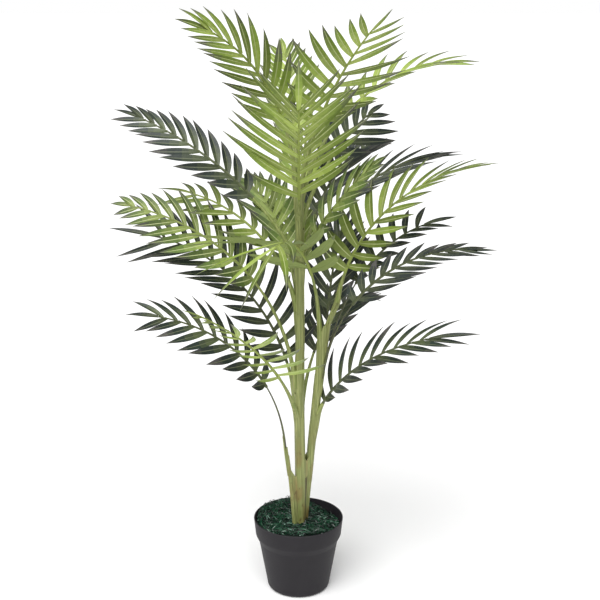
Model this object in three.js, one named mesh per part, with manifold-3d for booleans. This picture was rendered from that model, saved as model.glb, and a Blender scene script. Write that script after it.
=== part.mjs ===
// An artificial areca palm in a nursery pot, in millimetres, +Z up, front towards -Y.
// The origin is the middle of the pot's underside.
import * as THREE from 'three';
import { mergeVertices } from 'three/addons/utils/BufferGeometryUtils.js';
import Module from 'manifold-3d';

const wasm = await Module();
wasm.setup();

// The pot
const POT_HEIGHT = 142;
const RIM_RADIUS = 85;
const COLLAR_FOOT_RADIUS = 81.7;
const COLLAR_FOOT = 109.5;
const BODY_HEAD_RADIUS = 75.4;
const BODY_HEAD = 96.4;
const BASE_RADIUS = 60;
const BASE_ROUNDING = 9;
const WALL = 2.2;
const FLOOR = 3.5;
const POT_SIDES = 32;
const CORNER_STEPS = 3;

// The plug that holds the stems, and the shredded grass on it
const FILL_HEAD = 108;
const FILL_BEVEL = 11;
const MOSS_HEAD = 121;
const MOSS_MOUND = 7;
const MOSS_WAVE = 1.6;
const MOSS_WAVE_X = 9;
const MOSS_WAVE_Y = 7;
const MOSS_STEPS = 5;
const MOSS_UNDERCUT = 1;
const STEM_FOOT = 30;

// Clearances, and how near two corners are that count as one
const GAP = 0.3;
const POT_GAP = 2 * GAP;
const SAME_CORNER = 1e-4;

// How finely round things are drawn
const STEM_SIDES = 9;
const STALK_SIDES = 5;
const STEM_STEPS = 6;
const STALK_STEPS = 7;

// Stalks, ribs and leaflets
const COURSE_STEPS = 40;
const STALK_HEAD_RADIUS = 2.2;
const STALK_SEAT = 0.6;
const RIB_FOOT_RADIUS = 3.2;
const RIB_TIP_RADIUS = 2;
const LEAFLET_WIDTH = 17;
const LEAFLET_ROOT_WIDTH = 4.5;
const LEAFLET_THICKNESS = 0.011;
const THINNEST_LEAFLET = 1.1;
const LEAFLET_WIDEST = 0.38;
const LEAFLET_FORWARD = 0.65;
const LEAFLET_SAG = 0.3;
const LIFT_LOSS = 0.6;
const LEAFLET_GROWTH = 1.4;
const FULL_UNTIL = 0.45;
const TIP_NARROWING = 0.4;
const LEFT_OF_PAIR = 0.35;
const RIGHT_OF_PAIR = 0.65;
const ROOT_SHARE = 0.1;
const THIRD = Math.PI * 2 / 3;

// Upright stems. foot and head are [x, y, z] of the axis, bow is how far it bulges in the middle.
const STEMS = {
  trunk: { foot: [2, -2, STEM_FOOT], head: [1, 0, 372], bow: [2, 0], radii: [9, 9] },
  stem_middle: { foot: [1, 0, 372.4], head: [-1, 0, 790], bow: [3, 0], radii: [8.8, 5.5] },
  stem_right: { foot: [6, 13.5, STEM_FOOT], head: [49, 6, 512], bow: [-4, 0], radii: [5, 8.5] },
  stem_right_head: { foot: [51, 6, 512.8], head: [70, 6, 568], bow: [0, 0], radii: [5, 3.6] },
  shoot_left: {
    foot: [-2, -14.6, STEM_FOOT], head: [-23, -10, 288], bow: [3, 0], radii: [3.6, 2.6],
  },
};

// Fronds, from the top down. Lengths are in millimetres and angles in degrees.
// at: height on the stem. azimuth: 0 to the right, 90 to the back. rise and fall: slope at the
// foot and at the tip, and bend: how late it changes. swing: turn of the azimuth on the way.
// face: turn of the blade's upper side from the sky to the front, and turn: how much more of it
// there is at the tip. lift: leaflets' rise over it. spread: their slant to the rib at its foot,
// and closing: how much of it is lost by the tip. left, first and fading: shares of the length
// that those on the left and the first ones have, and that the last ones lose.
const FRONDS = {
  top_left: {
    stem: 'stem_middle', at: 776, azimuth: 217, swing: 7, rise: 88, fall: 21, bend: 1.1,
    stalk: 115, blade: 230, leaflet: 95, lift: 32, face: 83, turn: -25, spread: 51, first: 0.8,
    tone: 'light',
  },
  top_right: {
    stem: 'stem_middle', at: 763, azimuth: -43, swing: -6, rise: 84, fall: 41, bend: 0.8,
    stalk: 130, blade: 205, leaflet: 113, lift: -18, face: 120, turn: 54, spread: 85,
    fading: 0.6, tone: 'light',
  },
  top_back: {
    stem: 'stem_middle', at: 770, azimuth: 100, rise: 82, fall: 38, bend: 1, stalk: 95,
    blade: 175, leaflet: 78, lift: 10, face: 95, spread: 60, tone: 'light',
  },
  high_right: {
    stem: 'stem_middle', at: 746, azimuth: 28, swing: -30, rise: 79, fall: 9, bend: 1.05,
    stalk: 160, blade: 203, leaflet: 73, lift: 30, face: 12, turn: 5, spread: 86, closing: 70,
    first: 0.45, fading: 0.2, tone: 'light',
  },
  front: {
    stem: 'stem_middle', at: 714, azimuth: 270, rise: 70, fall: 34, bend: 0.85, stalk: 50,
    blade: 230, leaflet: 158, lift: 6, face: 117, spread: 58, first: 0.6, fading: 0.1,
    tone: 'light',
  },
  back_high: {
    stem: 'stem_middle', at: 690, azimuth: 85, rise: 75, fall: 5, bend: 0.9, stalk: 90,
    blade: 220, leaflet: 110, lift: 20, face: 0, tone: 'light',
  },
  high_back_right: {
    stem: 'stem_middle', at: 704, azimuth: 38, swing: 5, rise: 77, fall: 28, bend: 0.8,
    stalk: 135, blade: 120, leaflet: 86, lift: -22, face: 46, spread: 65, fading: 0.6,
    tone: 'dark',
  },
  right_front: {
    stem: 'stem_middle', at: 655, azimuth: -35, rise: 60, fall: 42, bend: 1, stalk: 45,
    blade: 165, leaflet: 64, lift: 25, face: 40, spread: 50, tone: 'olive',
  },
  high_left: {
    stem: 'stem_middle', at: 638, azimuth: 166, swing: -10, rise: 74, fall: 19, bend: 0.6,
    stalk: 140, blade: 265, leaflet: 76, lift: 6, face: 40, spread: 60, tone: 'dark',
  },
  right_back: {
    stem: 'stem_middle', at: 642, azimuth: 24, rise: 66, fall: 11, bend: 0.9, stalk: 115,
    blade: 180, leaflet: 92, lift: 16, face: 35, spread: 34, fading: 0.15, tone: 'dark',
  },
  right_high: {
    stem: 'stem_right_head', at: 565, azimuth: 2, swing: -11, rise: 86, fall: 18, bend: 0.9,
    stalk: 55, blade: 277, leaflet: 90, lift: 21, face: 49, turn: -55, spread: 83, closing: 66,
    first: 0.6, fading: 0.35, tone: 'light',
  },
  back_middle: {
    stem: 'stem_middle', at: 560, azimuth: 115, rise: 75, fall: 5, bend: 0.9, stalk: 100,
    blade: 230, leaflet: 105, lift: 20, face: 0, tone: 'olive',
  },
  back_upper: {
    stem: 'stem_middle', at: 620, azimuth: 60, rise: 78, fall: 4, bend: 0.9, stalk: 110,
    blade: 230, leaflet: 105, lift: 20, face: 0, tone: 'dark',
  },
  back_lower: {
    stem: 'stem_middle', at: 470, azimuth: 98, rise: 84, fall: 0, bend: 1, stalk: 140,
    blade: 240, leaflet: 105, lift: 20, face: 0, tone: 'light',
  },
  left_front: {
    stem: 'stem_middle', at: 549, azimuth: 174, swing: -18, rise: 85, fall: 9, bend: 0.95,
    stalk: 130, blade: 180, leaflet: 80, lift: -3, face: -7, turn: 26, spread: 80, first: 0.6,
    fading: 0.3, tone: 'light',
  },
  centre_front: {
    stem: 'stem_right', at: 494, azimuth: 202, swing: 45, rise: 88, fall: -27, bend: 2.3,
    stalk: 125, blade: 155, leaflet: 169, lift: -10, face: -13, spread: 70, first: 0.45,
    tone: 'light',
  },
  right_inner: {
    stem: 'stem_right', at: 505, azimuth: 60, rise: 86, fall: 55, bend: 1.5, stalk: 40,
    blade: 140, leaflet: 90, lift: 10, face: 70, tone: 'dark',
  },
  left_middle: {
    stem: 'stem_middle', at: 399, azimuth: 201, swing: -30, rise: 88, fall: 10, bend: 1.05,
    stalk: 225, blade: 265, leaflet: 90, lift: 11, face: 25, turn: 15, spread: 70, fading: 0.7,
    tone: 'light',
  },
  right_middle_back: {
    stem: 'stem_right', at: 440, azimuth: 21, rise: 77, fall: 14, bend: 1.5, stalk: 165,
    blade: 175, leaflet: 55, lift: 36, face: 20, spread: 90, fading: 0.05, tone: 'dark',
  },
  right_middle: {
    stem: 'stem_right', at: 406, azimuth: -29, swing: 5, rise: 85, fall: 8, bend: 1.05,
    stalk: 175, blade: 240, leaflet: 58, lift: -2, face: 120, turn: 8, spread: 61, closing: 48,
    first: 0.7, fading: 0.25, tone: 'dark',
  },
  left_back: {
    stem: 'trunk', at: 366, azimuth: 153, swing: 19, rise: 88, fall: 14, bend: 0.95, stalk: 83,
    blade: 344, leaflet: 94, lift: 37, face: 11, turn: 41, spread: 80, first: 0.8, fading: 0.15,
    tone: 'dark',
  },
  back_low: {
    stem: 'trunk', at: 345, azimuth: 62, rise: 84, fall: -12, bend: 1, stalk: 120, blade: 210,
    leaflet: 100, lift: 15, face: 0, tone: 'dark',
  },
  left_small: {
    stem: 'trunk', at: 344, azimuth: 242, swing: -21, rise: 76, fall: 30, bend: 0.5, stalk: 110,
    blade: 257, leaflet: 150, left: 0.25, lift: 15, face: 120, turn: 70, spread: 73, first: 0.9,
    fading: 0.84, tone: 'light',
  },
  right_low: {
    stem: 'stem_right', at: 348, azimuth: -23, swing: 14, rise: 75, fall: 14, bend: 0.7,
    stalk: 25, blade: 245, leaflet: 77, lift: 21, face: 20, spread: 70, first: 0.8, fading: 0.1,
    tone: 'dark',
  },
  left_low: {
    stem: 'shoot_left', at: 286, azimuth: 199, swing: -10, rise: 88, fall: 12, bend: 1,
    stalk: 130, blade: 250, leaflet: 89, lift: 5, face: 28, turn: 7, spread: 70, first: 0.3,
    fading: 0.5, tone: 'dark',
  },
};
const USUAL = { swing: 0, turn: 0, spread: 54, closing: 34, left: 1, first: 0.5, fading: 0.42 };
const LEAFLET_SPACING = 24;
const THICK_STALK = 3.8;
const THIN_STALK = 1.6;
const THIN_STALKS = ['left_low', 'right_middle', 'right_middle_back', 'right_inner'];

// What a leaflet that would touch something tries, one after another: more or less lift, in
// degrees, and a share of its length.
const TRIES = [
  [0, 1], [12, 1], [-12, 1], [24, 1], [-24, 1], [0, 0.75], [18, 0.75], [-18, 0.75], [36, 0.75],
  [0, 0.5], [25, 0.5], [-25, 0.5], [50, 0.5],
];

const COLOURS = {
  pot: 0x413e42,
  fill: 0x8d867b,
  moss: 0x23492f,
  stem: 0x8f9a58,
  stalk: 0x7f9050,
  light: 0x86a046,
  olive: 0x6f8044,
  dark: 0x35473f,
};
const ROUGHNESS = { pot: 0.6, fill: 0.9, moss: 0.8, stem: 0.55, stalk: 0.5, leaf: 0.55 };

const radians = THREE.MathUtils.degToRad;
const mix = THREE.MathUtils.lerp;

function look(tone, finish) {
  const values = { color: COLOURS[tone], roughness: ROUGHNESS[finish], metalness: 0 };
  return new THREE.MeshStandardMaterial(values);
}

// A geometry with its shared corners merged
function bare(geometry) {
  const plain = geometry.clone();
  plain.deleteAttribute('normal');
  plain.deleteAttribute('uv');
  return mergeVertices(plain, SAME_CORNER);
}

function solidOf(geometry) {
  const plain = bare(geometry);
  return new wasm.Manifold(new wasm.Mesh({
    numProp: 3,
    vertProperties: new Float32Array(plain.attributes.position.array),
    triVerts: new Uint32Array(plain.index.array),
  }));
}

function geometryOf(solid) {
  const mesh = solid.getMesh();
  const geometry = new THREE.BufferGeometry();
  geometry.setAttribute('position', new THREE.BufferAttribute(mesh.vertProperties, 3));
  geometry.setIndex(new THREE.BufferAttribute(mesh.triVerts, 1));
  return geometry;
}

// A closed bar of some sides, each of its points put where place(share along, x, z) says.
function drawOut(sides, steps, place) {
  const bar = new THREE.CylinderGeometry(1, 1, 1, sides, steps);
  const spots = bar.attributes.position;
  const spot = new THREE.Vector3();
  for (let i = 0; i < spots.count; i += 1) {
    place(spots.getY(i) + 0.5, spots.getX(i), spots.getZ(i), spot);
    spots.setXYZ(i, spot.x, spot.y, spot.z);
  }
  return bar;
}

// Two directions square to a heading, the second as near to a hint as it can be.
function crossFrame(heading, hint) {
  const up = hint.clone().addScaledVector(heading, -hint.dot(heading)).normalize();
  const side = new THREE.Vector3().crossVectors(heading, up);
  return { side, up };
}

// The axis of a stem at a height, and its radius there
function stemAt(stem, height) {
  const foot = new THREE.Vector3(...stem.foot);
  const head = new THREE.Vector3(...stem.head);
  const share = (height - foot.z) / (head.z - foot.z);
  const axis = foot.lerp(head, share);
  const bulge = 4 * share * (1 - share);
  axis.x += stem.bow[0] * bulge;
  axis.y += stem.bow[1] * bulge;
  return { axis, radius: mix(...stem.radii, share) };
}

function stemSolid(stem, grown = 0) {
  return solidOf(drawOut(STEM_SIDES, STEM_STEPS, (share, x, z, spot) => {
    const { axis, radius } = stemAt(stem, mix(stem.foot[2] - grown, stem.head[2] + grown, share));
    spot.set(axis.x - x * (radius + grown), axis.y + z * (radius + grown), axis.z);
  }));
}

// An outline turned round the upright axis
function turned(outline) {
  return new THREE.LatheGeometry(outline, POT_SIDES).rotateX(Math.PI / 2);
}

function potGeometry() {
  const corner = new THREE.EllipseCurve(
    BASE_RADIUS - BASE_ROUNDING, BASE_ROUNDING, BASE_ROUNDING, BASE_ROUNDING, -Math.PI / 2, 0,
  );
  return turned([
    new THREE.Vector2(0, 0),
    ...corner.getPoints(CORNER_STEPS),
    new THREE.Vector2(BODY_HEAD_RADIUS, BODY_HEAD),
    new THREE.Vector2(COLLAR_FOOT_RADIUS, COLLAR_FOOT),
    new THREE.Vector2(RIM_RADIUS, POT_HEIGHT),
    new THREE.Vector2(RIM_RADIUS - WALL, POT_HEIGHT),
    new THREE.Vector2(COLLAR_FOOT_RADIUS - WALL, COLLAR_FOOT),
    new THREE.Vector2(BODY_HEAD_RADIUS - WALL, BODY_HEAD),
    new THREE.Vector2(BASE_RADIUS - WALL, BASE_ROUNDING),
    new THREE.Vector2(BASE_RADIUS - WALL - BASE_ROUNDING / 2, FLOOR),
    new THREE.Vector2(0, FLOOR),
  ]);
}

const WALL_STRETCHES = [
  { foot: BASE_ROUNDING, head: BODY_HEAD, radii: [BASE_RADIUS, BODY_HEAD_RADIUS] },
  { foot: BODY_HEAD, head: COLLAR_FOOT, radii: [BODY_HEAD_RADIUS, COLLAR_FOOT_RADIUS] },
  { foot: COLLAR_FOOT, head: POT_HEIGHT, radii: [COLLAR_FOOT_RADIUS, RIM_RADIUS] },
];

// Radius of the pot's inside at a height, less the gap
function insideRadius(height) {
  const stretch = WALL_STRETCHES.find(({ head }) => height <= head);
  const share = (height - stretch.foot) / (stretch.head - stretch.foot);
  return mix(...stretch.radii, share) - WALL - POT_GAP;
}

function cutClear(solid, stems) {
  return stems.reduce((rest, stem) => rest.subtract(stemSolid(stem, GAP)), solid);
}

function fillSolid(stems) {
  const foot = FLOOR + GAP;
  const plug = turned([
    new THREE.Vector2(0, foot),
    new THREE.Vector2(BASE_RADIUS - WALL - BASE_ROUNDING, foot),
    new THREE.Vector2(insideRadius(FILL_BEVEL), FILL_BEVEL),
    new THREE.Vector2(insideRadius(BODY_HEAD), BODY_HEAD),
    new THREE.Vector2(insideRadius(FILL_HEAD), FILL_HEAD),
    new THREE.Vector2(0, FILL_HEAD),
  ]);
  return cutClear(solidOf(plug), stems);
}

// The grass: a mound that is lower at the wall, with waves over it
function mossSolid(stems) {
  const foot = FILL_HEAD + GAP;
  const outline = [new THREE.Vector2(0, foot)];
  outline.push(new THREE.Vector2(insideRadius(foot) - MOSS_UNDERCUT, foot));
  for (let step = 0; step <= MOSS_STEPS; step += 1) {
    const share = 1 - step / MOSS_STEPS;
    const mound = MOSS_HEAD + MOSS_MOUND * Math.cos(share * Math.PI / 2);
    outline.push(new THREE.Vector2(share * insideRadius(MOSS_HEAD), mound));
  }
  const mound = turned(outline);
  const spots = mound.attributes.position;
  for (let i = 0; i < spots.count; i += 1) {
    const wave = Math.sin(spots.getX(i) / MOSS_WAVE_X) * Math.cos(spots.getY(i) / MOSS_WAVE_Y);
    if (spots.getZ(i) > foot + GAP) {
      spots.setZ(i, spots.getZ(i) + MOSS_WAVE * wave);
    }
  }
  return cutClear(solidOf(mound), stems);
}

// The line that a frond follows, as a function from the length along it to the point there,
// the heading, and the two directions across the blade.
function courseOf(frond) {
  const stem = STEMS[frond.stem];
  const { axis, radius } = stemAt(stem, frond.at);
  const turn = radians(frond.azimuth);
  const clear = radius + frond.thick * STALK_SEAT;
  const whole = frond.stalk + frond.blade;
  const outward = new THREE.Vector3(Math.cos(turn), Math.sin(turn), 0);
  const spots = [axis.addScaledVector(outward, clear)];
  const headings = [];
  for (let step = 0; step < COURSE_STEPS; step += 1) {
    const share = (step + 0.5) / COURSE_STEPS;
    const slope = radians(mix(frond.rise, frond.fall, share ** frond.bend));
    const azimuth = radians(frond.azimuth + frond.swing * share);
    const heading = new THREE.Vector3(
      Math.cos(slope) * Math.cos(azimuth), Math.cos(slope) * Math.sin(azimuth), Math.sin(slope),
    );
    headings.push(heading);
    spots.push(spots[step].clone().addScaledVector(heading, whole / COURSE_STEPS));
  }
  headings.push(headings[COURSE_STEPS - 1]);
  return (along) => {
    const face = radians(frond.face + frond.turn * along / whole);
    const hint = new THREE.Vector3(0, -Math.sin(face), Math.cos(face));
    const place = THREE.MathUtils.clamp(along / whole, 0, 1) * COURSE_STEPS;
    const step = Math.min(Math.floor(place), COURSE_STEPS - 1);
    const spot = spots[step].clone().lerp(spots[step + 1], place - step);
    const heading = headings[step].clone().lerp(headings[step + 1], place - step).normalize();
    return { spot, heading, ...crossFrame(heading, hint) };
  };
}

function rodAlong(course, from, to, radii) {
  return solidOf(drawOut(STALK_SIDES, STALK_STEPS, (share, x, z, spot) => {
    const here = course(mix(from, to, share));
    const radius = mix(...radii, share);
    spot.copy(here.spot).addScaledVector(here.side, x * radius).addScaledVector(here.up, z * radius);
  }));
}

// The bare stalk, its foot cut to the stems that it lies against
function stalkSolid(frond) {
  const radii = [frond.thick, Math.min(frond.thick, STALK_HEAD_RADIUS)];
  const rod = rodAlong(frond.course, 0, frond.stalk - GAP, radii);
  const pieces = cutClear(rod, Object.values(STEMS)).decompose();
  return pieces.reduce((most, piece) => (piece.volume() > most.volume() ? piece : most));
}

// Where one leaflet lies: the spot at each share of its length, the directions towards the
// frond's tip and out of its face, its half width and its thickness.
function leafletAt(frond, here, share, hand, tilt, shortened) {
  const spread = radians(frond.spread - frond.closing * share) * Math.abs(hand);
  const lift = radians(frond.lift * (1 - LIFT_LOSS * share) + tilt);
  const outward = here.side.clone().multiplyScalar(Math.cos(lift) * (hand || 1));
  outward.addScaledVector(here.up, Math.sin(lift));
  const heading = here.heading.clone().multiplyScalar(Math.cos(spread));
  heading.addScaledVector(outward, Math.sin(spread));
  const { side, up } = crossFrame(heading, here.up);
  const growth = Math.min(1, frond.first + LEAFLET_GROWTH * share);
  const fading = 1 - frond.fading * Math.max(0, share - FULL_UNTIL) / (1 - FULL_UNTIL);
  const handed = hand < 0 ? frond.left : 1;
  const length = frond.leaflet * handed * growth * fading * shortened;
  const onward = here.heading.clone().multiplyScalar(LEAFLET_FORWARD);
  onward.z -= LEAFLET_SAG;
  return {
    spotAt: (along) => here.spot.clone()
      .addScaledVector(heading, along * length)
      .addScaledVector(onward, along * along * length / 2),
    across: side.multiplyScalar(hand ? -hand : 1),
    up,
    hand,
    half: LEAFLET_WIDTH / 2 * (1 - TIP_NARROWING * share),
    root: mix(RIB_FOOT_RADIUS, RIB_TIP_RADIUS, share),
    thickness: Math.max(THINNEST_LEAFLET, length * LEAFLET_THICKNESS),
  };
}

// A leaflet's widest cross section: edge towards the tip and to the foot, above and then below
function leafletRing(leaflet, grown) {
  const middle = leaflet.spotAt(LEAFLET_WIDEST);
  const corner = (across, up) => middle.clone()
    .addScaledVector(leaflet.across, across * (leaflet.half + grown))
    .addScaledVector(leaflet.up, up * (leaflet.thickness / 2 + grown));
  return [corner(1, 1), corner(-1, 1), corner(-1, -1), corner(1, -1)];
}

// A closed skin in the making, from rings of spots that run anticlockwise seen from outside
class Skin {
  constructor() {
    this.spots = [];
    this.faces = [];
  }

  add(...spots) {
    return spots.map((spot) => this.spots.push(spot) - 1);
  }

  panel(a, b, c, d) {
    this.faces.push(a, b, c, a, c, d);
  }

  wall(ring, next) {
    ring.forEach((spot, i) => {
      const j = (i + 1) % ring.length;
      this.panel(spot, ring[j], next[j], next[i]);
    });
  }

  peak(ring, tip) {
    ring.forEach((spot, i) => this.faces.push(spot, ring[(i + 1) % ring.length], tip));
  }

  geometry() {
    const geometry = new THREE.BufferGeometry().setFromPoints(this.spots);
    return geometry.setIndex(this.faces);
  }
}

// A leaflet by itself, a little larger all round, to find what it would touch
function leafletProbe(leaflet, grown) {
  const skin = new Skin();
  const root = leaflet.spotAt(0);
  const start = [[1, 1], [-1, 1], [-1, -1], [1, -1]].map(([across, up]) => root.clone()
    .addScaledVector(leaflet.across, across * LEAFLET_ROOT_WIDTH / 2)
    .addScaledVector(leaflet.up, up * leaflet.root));
  const widest = leafletRing(leaflet, grown);
  const foot = skin.add(...(leaflet.hand < 0 ? start.toReversed() : start));
  const ring = skin.add(...(leaflet.hand < 0 ? widest.toReversed() : widest));
  const [tip] = skin.add(leaflet.spotAt(1 + grown / LEAFLET_WIDTH));
  skin.panel(foot[3], foot[2], foot[1], foot[0]);
  skin.wall(foot, ring);
  skin.peak(ring, tip);
  return solidOf(skin.geometry());
}

// Everything that a new solid has to stay clear of
const taken = [];

function touches(solid, others) {
  const box = solid.boundingBox();
  return others.some((other) => {
    const apart = [0, 1, 2].some((axis) => (
      box.min[axis] > other.box.max[axis] || box.max[axis] < other.box.min[axis]
    ));
    return !apart && solid.intersect(other.solid).volume() > 0;
  });
}

function boxed(solid) {
  return { solid, box: solid.boundingBox() };
}

// The leaflets of a frond, each as its share of the blade and its hand: -1 left, 1 right
function leafletPlaces(pairs) {
  const places = [];
  for (let pair = 0; pair < pairs; pair += 1) {
    places.push({ share: (pair + LEFT_OF_PAIR) / pairs, hand: -1 });
    places.push({ share: (pair + RIGHT_OF_PAIR) / pairs, hand: 1 });
  }
  return places;
}

// The first way of laying a leaflet that keeps it clear of everything, or nothing
function laidLeaflet(frond, place, own) {
  const here = frond.course(frond.stalk + place.share * frond.blade);
  for (const [tilt, shortened] of TRIES) {
    const leaflet = leafletAt(frond, here, place.share, place.hand, tilt, shortened);
    const probe = leafletProbe(leaflet, GAP);
    if (!touches(probe, taken) && !touches(probe, own)) {
      own.push(boxed(probe));
      return leaflet;
    }
  }
  return null;
}

// The blade: a three-sided rib, its panels drawn out into leaflets, and a leaflet at its end
function bladeGeometry(frond) {
  const skin = new Skin();
  const own = [];
  const ribRing = (share) => {
    const here = frond.course(frond.stalk + share * frond.blade);
    const radius = mix(RIB_FOOT_RADIUS, RIB_TIP_RADIUS, share);
    const corner = (turn) => here.spot.clone()
      .addScaledVector(here.side, radius * Math.sin(turn))
      .addScaledVector(here.up, radius * Math.cos(turn));
    return skin.add(corner(0), corner(THIRD), corner(-THIRD));
  };
  const pairs = Math.round(frond.blade / LEAFLET_SPACING);
  const halfRoot = Math.min(LEAFLET_ROOT_WIDTH / 2 / frond.blade, ROOT_SHARE / pairs);
  let last = ribRing(0);
  skin.faces.push(last[0], last[2], last[1]);
  for (const place of leafletPlaces(pairs)) {
    const foot = ribRing(place.share - halfRoot);
    const head = ribRing(place.share + halfRoot);
    skin.wall(last, foot);
    const leaflet = laidLeaflet(frond, place, own);
    const grown = place.hand < 0 ? 2 : 0;
    [[0, 1], [1, 2], [2, 0]].forEach(([i, j]) => {
      if (!leaflet || i !== grown) {
        skin.panel(foot[i], foot[j], head[j], head[i]);
      }
    });
    if (leaflet) {
      const ring = skin.add(...leafletRing(leaflet, 0));
      const [tip] = skin.add(leaflet.spotAt(1));
      const root = place.hand < 0
        ? [head[2], foot[2], foot[0], head[0]]
        : [head[0], foot[0], foot[1], head[1]];
      const around = place.hand < 0 ? ring.toReversed() : ring;
      skin.wall(root, around);
      skin.peak(around, tip);
    }
    last = head;
  }
  const end = ribRing(1);
  skin.wall(last, end);
  const here = frond.course(frond.stalk + frond.blade);
  const { spotAt, up, half, thickness } = leafletAt(frond, here, 1, 0, 0, 1);
  const middle = spotAt(LEAFLET_WIDEST);
  const widest = skin.add(
    middle.clone().addScaledVector(up, thickness / 2),
    middle.clone().addScaledVector(here.side, half).addScaledVector(up, -thickness / 2),
    middle.clone().addScaledVector(here.side, -half).addScaledVector(up, -thickness / 2),
  );
  const [tip] = skin.add(spotAt(1));
  skin.wall(end, widest);
  skin.peak(widest, tip);
  return skin.geometry();
}

const palm = new THREE.Group();

function addPiece(name, geometry, finish) {
  const piece = new THREE.Mesh(geometry, finish);
  piece.name = name;
  palm.add(piece);
}

const pottedStems = [STEMS.trunk, STEMS.stem_right, STEMS.shoot_left];

addPiece('pot', bare(potGeometry()), look('pot', 'pot'));
addPiece('pot_fill', geometryOf(fillSolid(pottedStems)), look('fill', 'fill'));
addPiece('moss', geometryOf(mossSolid(pottedStems)), look('moss', 'moss'));
for (const [name, stem] of Object.entries(STEMS)) {
  const solid = stemSolid(stem);
  taken.push(boxed(solid));
  addPiece(name, geometryOf(solid), look('stem', 'stem'));
}

for (const [name, values] of Object.entries(FRONDS)) {
  const thick = THIN_STALKS.includes(name) ? THIN_STALK : THICK_STALK;
  const frond = { ...USUAL, thick, ...values };
  frond.course = courseOf(frond);
  const stalk = stalkSolid(frond);
  addPiece(`stalk_${name}`, geometryOf(stalk), look('stalk', 'stalk'));
  taken.push(boxed(stalk));
  const whole = frond.stalk + frond.blade;
  const rib = rodAlong(frond.course, frond.stalk, whole, [RIB_FOOT_RADIUS, RIB_TIP_RADIUS]);
  frond.space = boxed(rib);
  taken.push(frond.space);
  FRONDS[name] = frond;
}

for (const [name, frond] of Object.entries(FRONDS)) {
  taken.splice(taken.indexOf(frond.space), 1);
  const blade = bladeGeometry(frond);
  taken.push(boxed(solidOf(blade)));
  addPiece(`blade_${name}`, blade, look(frond.tone, 'leaf'));
}

export default palm;
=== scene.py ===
"""An artificial areca palm in a nursery pot: moulded stems, wired stalks, printed fabric leaflets
and shredded plastic grass, dressed around the fixed frame."""

import math

import bpy
import numpy as np
from bpy.props import FloatProperty, FloatVectorProperty, IntProperty, PointerProperty
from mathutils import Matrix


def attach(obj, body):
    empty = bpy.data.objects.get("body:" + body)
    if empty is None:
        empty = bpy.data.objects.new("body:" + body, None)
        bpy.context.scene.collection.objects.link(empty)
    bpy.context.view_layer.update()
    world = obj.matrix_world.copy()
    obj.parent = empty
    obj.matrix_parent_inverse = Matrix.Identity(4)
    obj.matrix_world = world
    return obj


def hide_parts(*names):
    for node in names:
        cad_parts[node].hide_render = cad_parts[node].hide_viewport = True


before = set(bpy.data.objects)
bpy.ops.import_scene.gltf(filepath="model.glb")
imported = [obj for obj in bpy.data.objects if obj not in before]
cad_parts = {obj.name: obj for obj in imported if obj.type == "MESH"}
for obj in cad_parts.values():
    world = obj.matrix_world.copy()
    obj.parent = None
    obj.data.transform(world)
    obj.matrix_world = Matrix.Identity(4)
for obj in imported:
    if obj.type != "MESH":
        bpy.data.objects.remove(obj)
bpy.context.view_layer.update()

bl_info = {
    "name": "Potted areca palm",
    "version": (1, 0, 0),
    "blender": (4, 5, 0),
    "location": "View3D > Sidebar > Palm",
    "description": "Builds an artificial areca palm in its pot, piece by piece",
    "category": "Add Mesh",
}

# A length is in millimetres, unless it is multiplied by MM, a setting or a part of the stage.
MM = 0.001
BODY = "root"

# Upright stems. foot and head are [x, y, z] of the axis, bow is how far it bulges in the middle.
STEMS = {
    "trunk": dict(foot=(2, -2, 30), head=(1, 0, 372), bow=(2, 0), radii=(9, 9)),
    "stem_middle": dict(foot=(1, 0, 372.4), head=(-1, 0, 790), bow=(3, 0), radii=(8.8, 5.5)),
    "stem_right": dict(foot=(6, 13.5, 30), head=(49, 6, 512), bow=(-4, 0), radii=(5, 8.5)),
    "stem_right_head": dict(foot=(51, 6, 512.8), head=(70, 6, 568), bow=(0, 0), radii=(5, 3.6)),
    "shoot_left": dict(foot=(-2, -14.6, 30), head=(-23, -10, 288), bow=(3, 0), radii=(3.6, 2.6)),
}

# Radius of a moulded stalk's foot, and of a bare wire's
THICK_STALK = 3.8
THIN_STALK = 1.6

# The numbers that each frond's row starts with, with angles in degrees. at: height on the stem.
# azimuth: 0 to the right, 90 to the back. rise and fall: slope at the foot and at the tip.
# stalk, blade and leaflet: lengths, the last of the longest one. lift: leaflets' rise over the
# blade.
COLUMNS = ("at", "azimuth", "rise", "fall", "stalk", "blade", "leaflet", "lift")

# What a frond has unless its row says otherwise. swing: turn of the azimuth on the way.
# bend: how late the slope changes. face: turn of the blade's upper side from the sky to the
# front, and turn: what the way adds. spread: leaflets' angle with the rib at its foot, and
# closing: what it loses up to the tip. left, first and fading are shares of a leaflet's length:
# of the left hand's, of the first pair's, and lost at the tip. thick: radius of the stalk's
# foot. girth: how wide the left and the right leaflets are against others. The shares of tints
# give how many of them are in the deep, the middle and the fresh tint: darker and lighter copies
# of one colour, partly random tone and partly painted shade and painted light on a whole frond.
# tone: kind of fabric.
USUAL = {
    "stem": "stem_middle", "swing": 0, "bend": 1, "face": 0, "turn": 0, "spread": 54,
    "closing": 34, "left": 1, "first": 0.5, "fading": 0.42, "thick": THICK_STALK,
    "girth": (1, 1), "tints": (0.3, 0.45, 0.25), "tone": "light",
}


def row(*numbers, **others):
    """What is to know of one frond"""
    return {**dict(zip(COLUMNS, numbers)), **USUAL, **others}


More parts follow.
